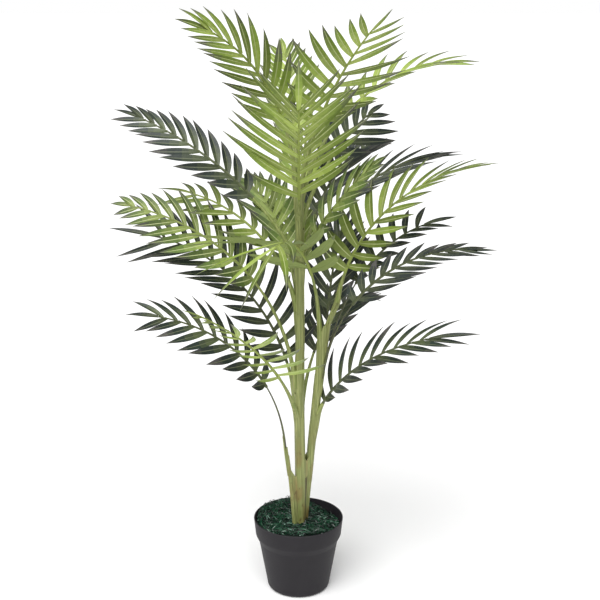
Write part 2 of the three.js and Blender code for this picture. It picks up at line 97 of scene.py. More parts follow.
# Fronds, from the top down
FRONDS = {
    # More fresh tints on the top fronds: painted light
    "top_left": row(
        776, 217, 88, 21, 115, 230, 95, 32, swing=7, bend=1.1, face=83, turn=-25, spread=51, first=0.8,
        girth=(0.7, 0.95), tints=(0.15, 0.45, 0.4)),
    "top_right": row(
        763, -43, 84, 41, 130, 205, 113, -18, swing=-6, bend=0.8, face=120, turn=54, spread=85,
        fading=0.6, tints=(0.1, 0.4, 0.5)),
    "top_back": row(770, 100, 82, 38, 95, 175, 78, 10, face=95, spread=60),
    "high_right": row(
        746, 28, 79, 9, 160, 203, 73, 30, swing=-30, bend=1.05, face=12, turn=5, spread=86, closing=70,
        first=0.45, fading=0.2, tints=(0.2, 0.4, 0.4)),
    "front": row(
        714, 270, 70, 34, 50, 230, 158, 6, bend=0.85, face=117, spread=58, first=0.6, fading=0.1),
    "back_high": row(690, 85, 75, 5, 90, 220, 110, 20, bend=0.9),
    "high_back_right": row(
        704, 38, 77, 28, 135, 120, 86, -22, swing=5, bend=0.8, face=46, spread=65, fading=0.6,
        tone="dark"),
    "right_front": row(655, -35, 60, 42, 45, 165, 64, 25, face=40, spread=50, tone="olive"),
    "high_left": row(
        638, 166, 74, 19, 140, 265, 76, 6, swing=-10, bend=0.6, face=40, spread=60, tone="dark"),
    "right_back": row(
        642, 24, 66, 11, 115, 180, 92, 16, bend=0.9, face=35, spread=34, fading=0.15,
        girth=(0.55, 0.55), tone="dark"),
    "right_high": row(
        565, 2, 86, 18, 55, 277, 90, 21, stem="stem_right_head", swing=-11, bend=0.9, face=49, turn=-55,
        spread=83, closing=66, first=0.6, fading=0.35, girth=(1.3, 0.8), tints=(0.5, 0.4, 0.1)),
    "back_middle": row(560, 115, 75, 5, 100, 230, 105, 20, bend=0.9, tone="olive"),
    "back_upper": row(620, 60, 78, 4, 110, 230, 105, 20, bend=0.9, tone="dark"),
    "back_lower": row(470, 98, 84, 0, 140, 240, 105, 20),
    # Mostly deep tints on this left frond: painted shade
    "left_front": row(
        549, 174, 85, 9, 130, 180, 80, -3, swing=-18, bend=0.95, face=-7, turn=26, spread=80, first=0.6,
        fading=0.3, tints=(0.9, 0.1, 0)),
    "centre_front": row(
        494, 202, 88, -27, 125, 155, 169, -10, stem="stem_right", swing=45, bend=2.3, face=-13,
        spread=70, first=0.45, tints=(0.5, 0.4, 0.1)),
    "right_inner": row(
        505, 60, 86, 55, 40, 140, 90, 10, stem="stem_right", bend=1.5, face=70, thick=THIN_STALK,
        tone="dark"),
    "left_middle": row(
        399, 201, 88, 10, 225, 265, 90, 11, swing=-30, bend=1.05, face=25, turn=15, spread=70,
        fading=0.7, tints=(0.5, 0.4, 0.1), tone="olive"),
    "right_middle_back": row(
        440, 21, 77, 14, 165, 175, 55, 36, stem="stem_right", bend=1.5, face=20, spread=90, fading=0.05,
        thick=THIN_STALK, tone="dark"),
    "right_middle": row(
        406, -29, 85, 8, 175, 240, 58, -2, stem="stem_right", swing=5, bend=1.05, face=120, turn=8,
        spread=61, closing=48, first=0.7, fading=0.25, thick=THIN_STALK, girth=(0.8, 0.9), tone="dark"),
    "left_back": row(
        366, 153, 88, 14, 83, 344, 94, 37, stem="trunk", swing=19, bend=0.95, face=11, turn=41,
        spread=80, first=0.8, fading=0.15, girth=(0.85, 0.85), tone="dark"),
    "back_low": row(345, 62, 84, -12, 120, 210, 100, 15, stem="trunk", tone="dark"),
    "left_small": row(
        344, 242, 76, 30, 110, 257, 150, 15, stem="trunk", swing=-21, bend=0.5, left=0.25, face=120,
        turn=70, spread=73, first=0.9, fading=0.84, girth=(0.8, 0.75)),
    "right_low": row(
        348, -23, 75, 14, 25, 245, 77, 21, stem="stem_right", swing=14, bend=0.7, face=20, spread=70,
        first=0.8, fading=0.1, tone="dark"),
    "left_low": row(
        286, 199, 88, 12, 130, 250, 89, 5, stem="shoot_left", swing=-10, face=28, turn=7, spread=70,
        first=0.3, fading=0.5, thick=THIN_STALK, tone="dark"),
}

# Stalks, ribs and leaflets, by the same rule as the solids that they stand for
COURSE_STEPS = 40
STALK_HEAD_RADIUS = 2.2
STALK_SEAT = 0.6
STALK_SINK = 1.1
SINK_LENGTH = 60
RIB_FOOT_RADIUS = 2.9
RIB_TIP_RADIUS = 1.3
LIFT_LOSS = 0.6
LEAFLET_GROWTH = 1.4
FULL_UNTIL = 0.45
TIP_NARROWING = 0.4
LEAFLET_FORWARD = 0.65
LEAFLET_SAG = 0.3
OF_PAIR = (0.35, 0.65)


def linear(red, green, blue):
    """Scene-linear values of a colour given from 0 to 255, by the usual curve of screens."""
    shares = np.array([red, green, blue]) / 255
    low, high = shares / 12.92, ((shares + 0.055) / 1.055) ** 2.4
    return tuple(float(value) for value in np.where(shares > 0.04045, high, low))


BLACK = (0, 0, 0)
TINY = 1e-6
CORNERS = ((1, 1), (-1, 1), (-1, -1), (1, -1))


def mixed(first, second, share):
    """A colour part of the way from one to another."""
    return tuple(a + (b - a) * share for a, b in zip(first, second))


def mix(first, second, share):
    return first + (second - first) * share


def smooth(low, high, value):
    """0 up to low and 1 from high on, with a soft change."""
    share = np.clip((value - low) / (high - low), 0, 1)
    return share * share * (3 - 2 * share)


def unit(vectors):
    return vectors / np.linalg.norm(vectors, axis=-1, keepdims=True)


def circle(sides):
    """Angles of evenly spaced spots all round"""
    return np.linspace(0, 2 * math.pi, sides, endpoint=False)


def spots_at(x, y, z):
    """Spots, or directions, from arrays that spread to one shape"""
    return np.stack(np.broadcast_arrays(x, y, z), axis=-1)


def polar(radius, angles, z=0):
    """Spots at a distance from the upright axis, in directions round it"""
    return spots_at(radius * np.cos(angles), radius * np.sin(angles), z)


def level_ways(outward, angles):
    """Level directions at angles from an outward one"""
    side = np.cross([0, 0, 1], outward)
    return outward * np.cos(angles)[:, None] + side * np.sin(angles)[:, None]


# Settings

def setting(kind, name, about, default, **options):
    return kind(name=name, description=f"{name}, {about}", default=default, **options)


def colour_setting(name, colour):
    return setting(FloatVectorProperty, name, "a plain colour", linear(*colour), size=3, min=0,
                   max=1, subtype="COLOR")


def length_setting(name, default):
    return setting(FloatProperty, name, "measured on the object", default, min=0, unit="LENGTH")


def degree_setting(name, default):
    return setting(FloatProperty, name, "as an angle", math.radians(default), subtype="ANGLE")


def light_setting(name, default):
    return setting(FloatProperty, name, "its strength", default, min=0)


class PotSettings(bpy.types.PropertyGroup):
    colour: colour_setting("Pot colour", (23, 20, 25))
    wear: colour_setting("Worn edge colour", (52, 50, 54))
    lip: length_setting("Rounding of the rim", 0.0011)
    grain: length_setting("Height of the moulded grain", 0.00025)


class MossSettings(bpy.types.PropertyGroup):
    dark: colour_setting("Dark grass colour", (12, 34, 25))
    middle: colour_setting("Middle grass colour", (26, 74, 50))
    # Pale strands are partly paler film and partly painted highlight
    pale: colour_setting("Pale grass colour", (104, 136, 120))
    strands: setting(IntProperty, "Strands", "their number", 3000, min=0)
    width: length_setting("Width of a strand", 0.0017)
    length: length_setting("Length of a strand", 0.018)


class StemSettings(bpy.types.PropertyGroup):
    green: colour_setting("Stem green", (118, 126, 70))
    pale: colour_setting("Pale streaks", (152, 158, 98))
    brown: colour_setting("Brown tint", (122, 98, 52))
    wire: colour_setting("Bare wire", (66, 66, 50))
    groove: length_setting("Depth of the grooves", 0.0003)
    sheath: length_setting("Length of a leaf base", 0.085)
    rise: length_setting("Rise of a leaf base up its stalk", 0.04)
    dip: length_setting("Dip of a leaf base behind its stalk", 0.024)


class LeafSettings(bpy.types.PropertyGroup):
    light: colour_setting("Light fronds", (116, 136, 54))
    olive: colour_setting("Olive fronds", (88, 108, 50))
    dark: colour_setting("Dark fronds", (36, 47, 40))
    tip: colour_setting("Leaflet tips", (80, 76, 76))
    spacing: length_setting("Spacing of the pairs of leaflets", 0.024)
    width: length_setting("Width of a leaflet", 0.0182)
    root: setting(FloatProperty, "Width of a leaflet's root", "as a share", 0.48, subtype="FACTOR")
    fold: degree_setting("Fold along the midrib", 17)
    twist: degree_setting("Twist", 14)
    thickness: length_setting("Thickness of the fabric", 0.0005)


class StageSettings(bpy.types.PropertyGroup):
    floor: colour_setting("Floor colour", (250, 250, 250))
    key: light_setting("Soft key light", 3.2)
    fill: light_setting("Light from all round", 0.5)
    camera: setting(FloatVectorProperty, "Camera place", "where it stands",
                    (0.003, -1.887, 1.076), size=3, subtype="TRANSLATION")
    pitch: degree_setting("Downward pitch of the camera", 15)
    view: degree_setting("Field of view across the picture", 31.10304)


# Finishes

class Wire:
    """A node's output, on which Python's operators add Math nodes."""

    def __init__(self, graph, socket):
        self.graph = graph
        self.socket = socket

    def maths(self, operation, first, second):
        return self.graph.node("ShaderNodeMath", {"operation": operation}, {0: first, 1: second})

    def __add__(self, other):
        return self.maths("ADD", self, other)

    __radd__ = __add__

    def __mul__(self, other):
        return self.maths("MULTIPLY", self, other)

    __rmul__ = __mul__

    def __sub__(self, other):
        return self.maths("SUBTRACT", self, other)

    def __rsub__(self, other):
        return self.maths("SUBTRACT", other, self)


class Graph:
    """The nodes of a material or of the world"""

    def __init__(self, tree):
        self.tree = tree

    def put(self, node, inputs):
        for key, value in inputs.items():
            socket = node.inputs[key]
            if isinstance(value, Wire):
                self.tree.links.new(value.socket, socket)
            elif socket.type == "RGBA":
                socket.default_value = (*value, 1)
            else:
                socket.default_value = value

    def node(self, kind, settings=None, inputs=None, output=0):
        """Adds a node, with its settings first, and returns one of its outputs."""
        node = self.tree.nodes.new(kind)
        for key, value in (settings or {}).items():
            setattr(node, key, value)
        self.put(node, inputs or {})
        return Wire(self, node.outputs[output])


class Finish(Graph):
    """A material in the making, round one Principled shader."""

    def __init__(self, name, **sockets):
        self.material = bpy.data.materials.new(name)
        self.material.use_nodes = True
        super().__init__(self.material.node_tree)
        self.shader = self.tree.nodes["Principled BSDF"]
        self.put(self.shader, {key.replace("_", " "): value for key, value in sockets.items()})

    def place(self, *scale):
        """The object's own coordinates, stretched along each axis."""
        spot = self.node("ShaderNodeTexCoord", output="Object")
        return self.node("ShaderNodeVectorMath", {"operation": "MULTIPLY"}, {0: spot, 1: scale})

    def height(self):
        spot = self.node("ShaderNodeTexCoord", output="Object")
        return self.node("ShaderNodeSeparateXYZ", None, {0: spot}, output="Z")

    def noise(self, scale, detail, stretch=(1, 1, 1)):
        """Cloudy noise of so many cells to the metre"""
        inputs = {"Vector": self.place(*stretch), "Scale": scale, "Detail": detail}
        return self.node("ShaderNodeTexNoise", None, inputs)

    def between(self, value, low, high):
        """0 below low and 1 above high, with a soft change."""
        settings = {"interpolation_type": "SMOOTHSTEP"}
        inputs = {"Value": value, "From Min": low, "From Max": high}
        return self.node("ShaderNodeMapRange", settings, inputs)

    def blend(self, share, first, second):
        settings = {"data_type": "RGBA"}
        return self.node("ShaderNodeMix", settings, {0: share, 6: first, 7: second}, output=2)

    def bump(self, height, distance, strength):
        inputs = {"Height": height, "Distance": distance, "Strength": strength}
        self.feed("Normal", self.node("ShaderNodeBump", None, inputs))

    def feed(self, socket, value):
        self.put(self.shader, {socket: value})


# Heights between which the rubbed rim and foot of the pot and the brown of the stems fade
RUBBED_RIM = (138.5 * MM, 141.8 * MM)
RUBBED_FOOT = (1 * MM, 7 * MM)
BROWN_FOOT = (230 * MM, 330 * MM)

# Cells to the metre of the marks on the stems, across and along them
STREAKS = (420, 420, 9)
CLOUDS = (45, 45, 18)
SPECKS = (160, 160, 70)

CEMENT = linear(120, 116, 106)
PALE_CEMENT = linear(158, 154, 142)


def pot_finish(settings):
    """Matt moulded plastic, paler where the rim and the foot are rubbed."""
    finish = Finish("pot_plastic", Specular_IOR_Level=0.34)
    cloud, scuffs = finish.noise(38, detail=3), finish.noise(260, detail=3)
    height = finish.height()
    rubbed = finish.between(height, *RUBBED_RIM) + (1 - finish.between(height, *RUBBED_FOOT))
    wear = rubbed * finish.between(scuffs, 0.42, 0.7) * 0.55
    paler = finish.blend(finish.between(cloud, 0.3, 0.75) * 0.16, settings.colour, settings.wear)
    finish.feed("Base Color", finish.blend(wear, paler, settings.wear))
    finish.feed("Roughness", 0.52 + 0.16 * cloud)
    grain = finish.noise(1500, detail=2) + 0.35 * finish.noise(420, detail=2)
    finish.bump(grain, settings.grain, strength=0.55)
    return finish.material


def cement_finish():
    """Rough cast cement, seen only if the grass is taken off"""
    finish = Finish("cast_cement", Roughness=0.92)
    finish.feed("Base Color", finish.blend(finish.noise(90, detail=4), CEMENT, PALE_CEMENT))
    finish.bump(finish.noise(400, detail=4), 1 * MM, strength=0.6)
    return finish.material


def bark_finish(name, settings, green, pale, brown_share):
    """Moulded stem: long pale streaks, brown tints and dark specks low down."""
    finish = Finish(name)
    streak, cloud = finish.noise(1, 3, STREAKS), finish.noise(1, 3, CLOUDS)
    low = 1 - finish.between(finish.height(), *BROWN_FOOT)
    browned = (0.12 + 0.88 * low) * finish.between(cloud, 0.44, 0.66) * brown_share
    speck = finish.between(finish.noise(1, 2, SPECKS), 0.62, 0.72) * low * brown_share
    streaked = finish.blend(finish.between(streak, 0.4, 0.68), green, pale)
    browner = finish.blend(browned, streaked, settings.brown)
    finish.feed("Base Color", finish.blend(speck, browner, mixed(settings.brown, BLACK, 0.55)))
    finish.feed("Roughness", 0.42 + 0.2 * streak)
    finish.bump(streak + 0.4 * cloud, 0.4 * MM, strength=0.5)
    return finish.material


def fabric_finish(name, colour, roughness):
    """Printed leaf fabric in one plain colour, with the fine weave under its coating."""
    finish = Finish(name, Base_Color=colour, Roughness=roughness, Specular_IOR_Level=0.4)
    finish.bump(finish.noise(1400, detail=1), 0.2 * MM, strength=0.35)
    return finish.material


def strand_finish(name, colour, roughness):
    """Shiny plastic film"""
    finish = Finish(name, Base_Color=colour, Roughness=roughness, Specular_IOR_Level=0.6)
    finish.bump(finish.noise(700, detail=1), 0.3 * MM, strength=0.3)
    return finish.material


# Meshes

def placed(name, data):
    """A new object in the scene"""
    thing = bpy.data.objects.new(name, data)
    bpy.context.scene.collection.objects.link(thing)
    return thing


class Pile:
    """Corners and faces of one joined mesh."""

    def __init__(self):
        self.spots = []
        self.faces = []
        self.looks = []
        self.count = 0

    def tubes(self, rings, looks, capped=True):
        """Closed tubes through rings of spots: rings is (tubes, rings, spots, 3), and looks the
        material index of each face, in any shape that spreads to (tubes, rings - 1, spots)."""
        tubes, along, around = rings.shape[:3]
        corner = np.arange(tubes * along * around).reshape(tubes, along, around) + self.count
        beside = np.roll(corner, -1, axis=2)
        sides = np.stack([corner[:, :-1], beside[:, :-1], beside[:, 1:], corner[:, 1:]], axis=-1)
        self.faces.extend(sides.reshape(-1, 4).tolist())
        side_looks = np.broadcast_to(looks, (tubes, along - 1, around))
        self.looks.extend(side_looks.reshape(-1).tolist())
        if capped:
            self.faces.extend(corner[:, 0, ::-1].tolist())
            self.faces.extend(corner[:, -1].tolist())
            self.looks.extend(side_looks[:, 0, 0].tolist())
            self.looks.extend(side_looks[:, -1, 0].tolist())
        self.spots.append(rings.reshape(-1, 3))
        self.count += tubes * along * around

    def turn(self, outline, sides):
        """An outline of (radius, height) turned round the upright axis"""
        radius, height = np.array(outline).T[..., None]
        self.tubes(polar(radius, circle(sides), height)[None], 0)

    def piece(self, name, materials, slot, replaced=(), sharp=40):
        """Makes the object, which rides on the plant's one body."""
        mesh = bpy.data.meshes.new(name)
        mesh.from_pydata(np.concatenate(self.spots).tolist(), [], self.faces)
        for material in materials:
            mesh.materials.append(material)
        mesh.polygons.foreach_set("material_index", self.looks)
        mesh.shade_smooth()
        mesh.set_sharp_from_angle(angle=math.radians(sharp))
        piece = placed(name, mesh)
        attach(piece, BODY)
        if replaced:
            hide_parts(*replaced)


# The pot

POT_HEIGHT = 142 * MM
RIM_RADIUS = 85 * MM
COLLAR_FOOT_RADIUS = 81.7 * MM
COLLAR_FOOT = 109.5 * MM
BODY_HEAD_RADIUS = 75.4 * MM
BODY_HEAD = 96.4 * MM
BASE_RADIUS = 60 * MM
BASE_ROUNDING = 9 * MM
WALL = 2.2 * MM
FLOOR = 3.5 * MM
POT_SIDES = 192
ARC_POINTS = 9
CORNER_POINTS = 6

# How near the axis an outline starts and ends
POLE = 0.1 * MM


def arc(middle, radius, start, end):
    """Points of a round corner, in (radius, height), with angles in degrees."""
    angles = np.radians(np.linspace(start, end, ARC_POINTS))
    return [(middle[0] + radius * math.cos(a), middle[1] + radius * math.sin(a)) for a in angles]


def softened(before, corner, after, size):
    """Points of an outline that round off one of its corners."""
    before, corner, after = (np.array(point) for point in (before, corner, after))
    start = corner + unit(before - corner) * size
    end = corner + unit(after - corner) * size
    shares = np.linspace(0, 1, CORNER_POINTS)[:, None]
    curve = mix(mix(start, corner, shares), mix(corner, end, shares), shares)
    return [tuple(point) for point in curve]


def pot_outline(settings):
    """From the middle of the underside, up the outside, over the rim and down the inside."""
    lip = settings.lip
    foot, head = (BASE_RADIUS, BASE_ROUNDING), (RIM_RADIUS, POT_HEIGHT - lip)
    waist, shoulder = (BODY_HEAD_RADIUS, BODY_HEAD), (COLLAR_FOOT_RADIUS, COLLAR_FOOT)
    points = [(POLE, 0)]
    points += arc((BASE_RADIUS - BASE_ROUNDING, BASE_ROUNDING), BASE_ROUNDING, -90, 0)
    points += softened(foot, waist, shoulder, 2 * lip)
    points += softened(waist, shoulder, head, 2 * lip)
    points += arc((RIM_RADIUS - lip, POT_HEIGHT - lip), lip, 0, 180)
    points += [
        (COLLAR_FOOT_RADIUS - WALL, COLLAR_FOOT), (BODY_HEAD_RADIUS - WALL, BODY_HEAD),
        (BASE_RADIUS - WALL, BASE_ROUNDING), (BASE_RADIUS - WALL - BASE_ROUNDING / 2, FLOOR),
        (POLE, FLOOR),
    ]
    return points


class PALM_OT_pot(bpy.types.Operator):
    """Turn the nursery pot and give the plug its cement"""
    bl_idname = "palm.pot"
    bl_label = "Pot"

    def execute(self, context):
        settings = context.scene.palm_pot
        pile = Pile()
        pile.turn(pot_outline(settings), POT_SIDES)
        pile.piece("pot_shell", [pot_finish(settings)], "pot", ["pot"], sharp=30)
        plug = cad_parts["pot_fill"]
        plug.data.materials.clear()
        plug.data.materials.append(cement_finish())
        return {"FINISHED"}


# The grass

# It lies in a mound, banked up against the pot's wall at the back and at the front.
GRASS_REACH = 79 * MM
GRASS_FOOT = 112 * MM
GRASS_HEAD = 121 * MM
GRASS_MOUND = 7 * MM
WAVE = 1.6 * MM
WAVE_LENGTHS = (9 * MM, 7 * MM)
BANK_TURN = math.radians(122)
BANK_RISE = 21 * MM
BANK_START = 0.2
FRONT_RISE = 23 * MM
FRONT_START = 0.3
MOUND_DEPTH = 4 * MM
MOUND_SIDES = 72
MOUND_STEPS = 14
MOUND_CORE = 0.001

# The shredded strands, and how far one may differ from another
STRAND_STEPS = 6
STRAND_REACH = 78.21 * MM
STRAND_CORE = 0.01
STRAND_LENGTHS = (0.4, 1.4)
STRAND_WIDTHS = (0.5, 1.3)
STRAND_CURL = 0.9
STRAND_HUMP = 0.25
STRAND_SLANT = 0.45
STRAND_DROP = 3
STRAND_ROLL = 2
STRAND_TAPER = 0.5
STRAND_THICKNESS = 0.1

# Share and roughness of each kind of strand. The rare pale kind is partly paler film and
# partly painted highlight.
STRAND_KINDS = {"dark": (0.53, 0.34), "middle": (0.41, 0.3), "pale": (0.06, 0.16)}


def grass_height(x, y):
    """Height at which the strands lie"""
    share = np.clip(np.hypot(x, y) / GRASS_REACH, 0, 1)
    wave = np.sin(x / WAVE_LENGTHS[0]) * np.cos(y / WAVE_LENGTHS[1])
    mound = GRASS_HEAD + GRASS_MOUND * np.cos(share * math.pi / 2) + WAVE * wave
    behind = (x * math.cos(BANK_TURN) + y * math.sin(BANK_TURN)) / GRASS_REACH
    bank = BANK_RISE * smooth(BANK_START, 1, behind)
    return mound + bank + FRONT_RISE * smooth(FRONT_START, 1, -y / GRASS_REACH)


def mound_rings():
    """The body of the mound, a little below the strands"""
    angles = circle(MOUND_SIDES)
    reach = GRASS_REACH * np.linspace(1, MOUND_CORE, MOUND_STEPS)[:, None]
    x, y = reach * np.cos(angles), reach * np.sin(angles)
    top = spots_at(x, y, grass_height(x, y) - MOUND_DEPTH)
    foot = top[:1].copy()
    foot[..., 2] = GRASS_FOOT
    return np.concatenate([foot, top])[None]


def strand_rings(settings, rng, count):
    """Flat strands that lie over the mound at all slants, as rings of four spots."""
    def drawn(low, high):
        return rng.uniform(low, high, count)[:, None]

    share = np.linspace(0, 1, STRAND_STEPS)
    turn = drawn(0, 2 * math.pi)
    reach = STRAND_REACH * np.sqrt(drawn(STRAND_CORE, 1))
    heading = drawn(0, 2 * math.pi)
    length = settings.length * drawn(*STRAND_LENGTHS)
    angle = heading + drawn(-STRAND_CURL, STRAND_CURL) * (share - 0.5)
    hump = drawn(0, STRAND_HUMP) * length
    slant = drawn(-STRAND_SLANT, STRAND_SLANT) * length
    step = length / (STRAND_STEPS - 1)
    x = reach * np.cos(turn) + np.cumsum(np.cos(angle) * step, axis=1)
    y = reach * np.sin(turn) + np.cumsum(np.sin(angle) * step, axis=1)
    x -= length / 2 * np.cos(heading)
    y -= length / 2 * np.sin(heading)
    held = np.minimum(1, GRASS_REACH / np.maximum(np.hypot(x, y), TINY))
    x, y = x * held, y * held
    z = grass_height(x, y) + hump * np.sin(math.pi * share) + slant * (share - 0.5)
    z += drawn(-STRAND_DROP, STRAND_DROP) * MM
    middle = spots_at(x, y, z)
    along = unit(np.gradient(middle, axis=1))
    roll = (drawn(0, math.pi) + drawn(-STRAND_ROLL, STRAND_ROLL) * share)[..., None]
    across = unit(np.cross(along, [0, 0, 1]) + TINY)
    flat = across * np.cos(roll) + np.cross(across, along) * np.sin(roll)
    wide = settings.width / 2 * drawn(*STRAND_WIDTHS) * (1 - STRAND_TAPER * share ** 3)
    wide = flat * wide[..., None]
    thick = np.cross(flat, along) * settings.width * STRAND_THICKNESS
    return np.stack([middle + wide * a + thick * b for a, b in CORNERS], axis=2)


class PALM_OT_moss(bpy.types.Operator):
    """Lay the shredded grass over its mound"""
    bl_idname = "palm.moss"
    bl_label = "Grass"

    def execute(self, context):
        settings = context.scene.palm_moss
        rng = np.random.default_rng(7)
        # The mound under the strands is darker than any strand: painted shade deep in the grass
        base = strand_finish("grass_base", mixed(settings.dark, BLACK, 0.4), 0.7)
        mound = Pile()
        mound.tubes(mound_rings(), 0)
        mound.piece("grass_mound", [base], "moss", ["moss"])
        for kind, (share, roughness) in STRAND_KINDS.items():
            pile = Pile()
            pile.tubes(strand_rings(settings, rng, int(settings.strands * share)), 0)
            finish = strand_finish(f"grass_{kind}", getattr(settings, kind), roughness)
            pile.piece(f"grass_{kind}", [finish], "moss")
        return {"FINISHED"}


# Stems

STEM_SIDES = 48
RING_PITCH = 3

# The grooves of a stem: how many of each kind, how high the second is, and how far they wander
GROOVES = (7, 17)
FINE_GROOVE = 0.6
WANDERS = (1.5, 2.5)
WANDER_LENGTH = 61

# Stems whose skin runs on from one to the next
SKINS = (["trunk", "stem_middle"], ["stem_right"], ["stem_right_head"], ["shoot_left"])


def stem_axis(stem, height):
    """Middle and radius of a stem at heights, in millimetres."""
    foot, head = stem["foot"], stem["head"]
    share = (height - foot[2]) / (head[2] - foot[2])
    bulge = 4 * share * (1 - share)
    x, y = (mix(foot[i], head[i], share) + stem["bow"][i] * bulge for i in (0, 1))
    return spots_at(x, y, height), mix(*stem["radii"], share)


def stem_rings(stem, phase, settings):
    """The stem's skin, with long grooves; phase keeps two stems from being alike."""
    low, high = stem["foot"][2], stem["head"][2]
    heights = np.linspace(low, high, int((high - low) / RING_PITCH) + 2)
    axis, radius = stem_axis(stem, heights)
    angles = circle(STEM_SIDES)
    wander = np.sin(heights / WANDER_LENGTH + phase)[:, None]
    groove = np.sin(GROOVES[0] * angles + WANDERS[0] * wander + phase)
    groove = groove + FINE_GROOVE * np.sin(GROOVES[1] * angles - WANDERS[1] * wander)
    reach = radius[:, None] + settings.groove / MM * groove
    return (axis[:, None] + polar(reach, angles))[None] * MM


class PALM_OT_stems(bpy.types.Operator):
    """Skin the upright stems with grooves and tints"""
    bl_idname = "palm.stems"
    bl_label = "Stems"

    def execute(self, context):
        settings = context.scene.palm_stems
        bark = bark_finish("stem_bark", settings, settings.green, settings.pale, 1)
        for phase, names in enumerate(SKINS):
            pile = Pile()
            rings = [stem_rings(STEMS[name], phase, settings) for name in names]
            pile.tubes(np.concatenate(rings, axis=1), 0)
            pile.piece(f"{names[0]}_skin", [bark], "stem", names)
        return {"FINISHED"}


# Fronds

STALK_SIDES = 14
STALK_STEPS = 30
STALK_TAPER = 0.8
STALK_FLARE = 0.5
FLARE_LENGTH = 60
RIB_SIDES = 10
RIB_STEPS = 30
RIB_GROOVE = 0.56
GROOVE_NARROWNESS = 6


class Course:
    """The line that a frond follows, in metres."""

    def __init__(self, frond):
        self.frond = frond
        axis, radius = stem_axis(STEMS[frond["stem"]], frond["at"])
        self.outward = polar(1, math.radians(frond["azimuth"]))
        whole = frond["stalk"] + frond["blade"]
        share = (np.arange(COURSE_STEPS) + 0.5) / COURSE_STEPS
        slope = np.radians(mix(frond["rise"], frond["fall"], share ** frond["bend"]))
        azimuth = np.radians(frond["azimuth"] + frond["swing"] * share)
        headings = polar(np.cos(slope), azimuth, np.sin(slope))
        start = axis + self.outward * (radius + frond["thick"] * STALK_SEAT)
        walked = np.cumsum(headings * whole / COURSE_STEPS, axis=0)
        self.headings = np.concatenate([headings, headings[-1:]])
        self.marks = np.linspace(0, whole, COURSE_STEPS + 1)
        sunk = frond["thick"] * STALK_SINK * np.exp(-self.marks / SINK_LENGTH)[:, None]
        self.spots = np.concatenate([start[None], start + walked]) * MM
        self.spots -= self.outward * sunk * MM

    def at(self, along):
        """Spots, headings, sides and ups at lengths along the course, in millimetres."""
        spots = np.stack([np.interp(along, self.marks, v) for v in self.spots.T], axis=-1)
        step = np.clip(along / self.marks[1], 0, COURSE_STEPS - 1e-9)
        low = np.floor(step).astype(int)
        share = (step - low)[..., None]
        headings = unit(mix(self.headings[low], self.headings[low + 1], share))
        turned = self.frond["turn"] * along / self.marks[-1]
        face = np.radians(self.frond["face"] + turned)
        hints = spots_at(0, -np.sin(face), np.cos(face))
        return spots, headings, *cross_frame(headings, hints)


def cross_frame(headings, hint):
    """Two directions square to each heading, the second as near to a hint as it can be."""
    up = unit(hint - headings * np.sum(hint * headings, axis=-1, keepdims=True))
    return np.cross(headings, up), up


def all_courses():
    return {name: Course(frond) for name, frond in FRONDS.items()}


def rod_rings(spots, side, up, radius, sides, groove=0):
    """Rings of a rod through spots. Its upper side is hollowed by a share of its radius."""
    angles = circle(sides)[:, None]
    above = np.cos(angles)
    above = above - groove * np.clip(above, 0, 1) ** GROOVE_NARROWNESS
    reach = radius[:, None, None] * MM
    return (spots[:, None] + (side[:, None] * np.sin(angles) + up[:, None] * above) * reach)[None]


def ripple(angles, waves, fine, phase):
    """Waves round a stem, the second kind finer and fine times as high as the first."""
    return np.sin(waves[0] * angles + phase) + fine * np.sin(waves[1] * angles - phase)


def stalk_radius(frond, along):
    """Radius of a stalk at lengths along it: widest at its foot."""
    head = min(frond["thick"] * STALK_TAPER, STALK_HEAD_RADIUS)
    flare = 1 + STALK_FLARE * np.exp(-along / FLARE_LENGTH)
    return mix(frond["thick"], head, along / frond["stalk"]) * flare


def stalk_rings(course):
    along = np.linspace(0, course.frond["stalk"], STALK_STEPS)
    spots, headings, _, _ = course.at(along)
    across, up = cross_frame(headings, -course.outward)
    return rod_rings(spots, across, up, stalk_radius(course.frond, along), STALK_SIDES)


# Leaf bases are thin sleeves. Their foot comes out of the stem, and their rim turns in.
SLEEVE_SIDES = 44
SLEEVE_STEPS = 20
SLEEVE_SINK = 0.5
SLEEVE_SWELL = 1.1
SWELL_LENGTH = 14
SLEEVE_SKIN = 0.6
TURNED_SKIN = 0.72
SLEEVE_TURN = 6
SLEEVE_GROOVES = (8, 19)


def sleeve_rings(stem, low, rim, beside, groove, phase):
    """A thin leaf base round a stem and what leaves it, in millimetres, from the height low up
    to the rim's heights. beside gives where that lies from the stem's middle, and its radius,
    at heights."""
    angles = circle(SLEEVE_SIDES)
    edge = rim(angles)
    share = np.linspace(0, 1, SLEEVE_STEPS)[:, None]
    heights = low + (edge - low) * share
    heights = np.concatenate([heights, [edge, edge - SLEEVE_TURN]])
    skin = np.concatenate([np.zeros(SLEEVE_STEPS), [SLEEVE_SKIN, TURNED_SKIN]])[:, None]
    axis, radius = stem_axis(stem, heights)
    radius = radius - SLEEVE_SINK + SLEEVE_SWELL * smooth(0, SWELL_LENGTH, heights - low)
    fine = groove * ripple(angles, SLEEVE_GROOVES, FINE_GROOVE, phase)
    offset, wide = beside(heights)
    normal = level_ways(unit(offset), angles)
    farther = np.sum(offset * normal, axis=-1) + wide > radius
    reach = np.where(farther, wide, radius) + fine - skin
    middle = axis + offset * farther[..., None]
    return (middle + normal * reach[..., None])[None] * MM


# The leaf base of a frond: what its scale nears on thin stalks, how far up the stalk it is
# followed, how wide its ridge is at the foot, how far and how early that leans in, and its rim.
THIN_SCALE = 0.4
SLEEVE_REACH = 80
SLEEVE_MARKS = 17
SLEEVE_SLACK = 0.5
RIDGE_FOOT = 4
LEAN = 0.99
LEAN_BEND = 1.6
RIM_NARROWNESS = 5
RAGGED = 1.4
RAGS = (3, 11)


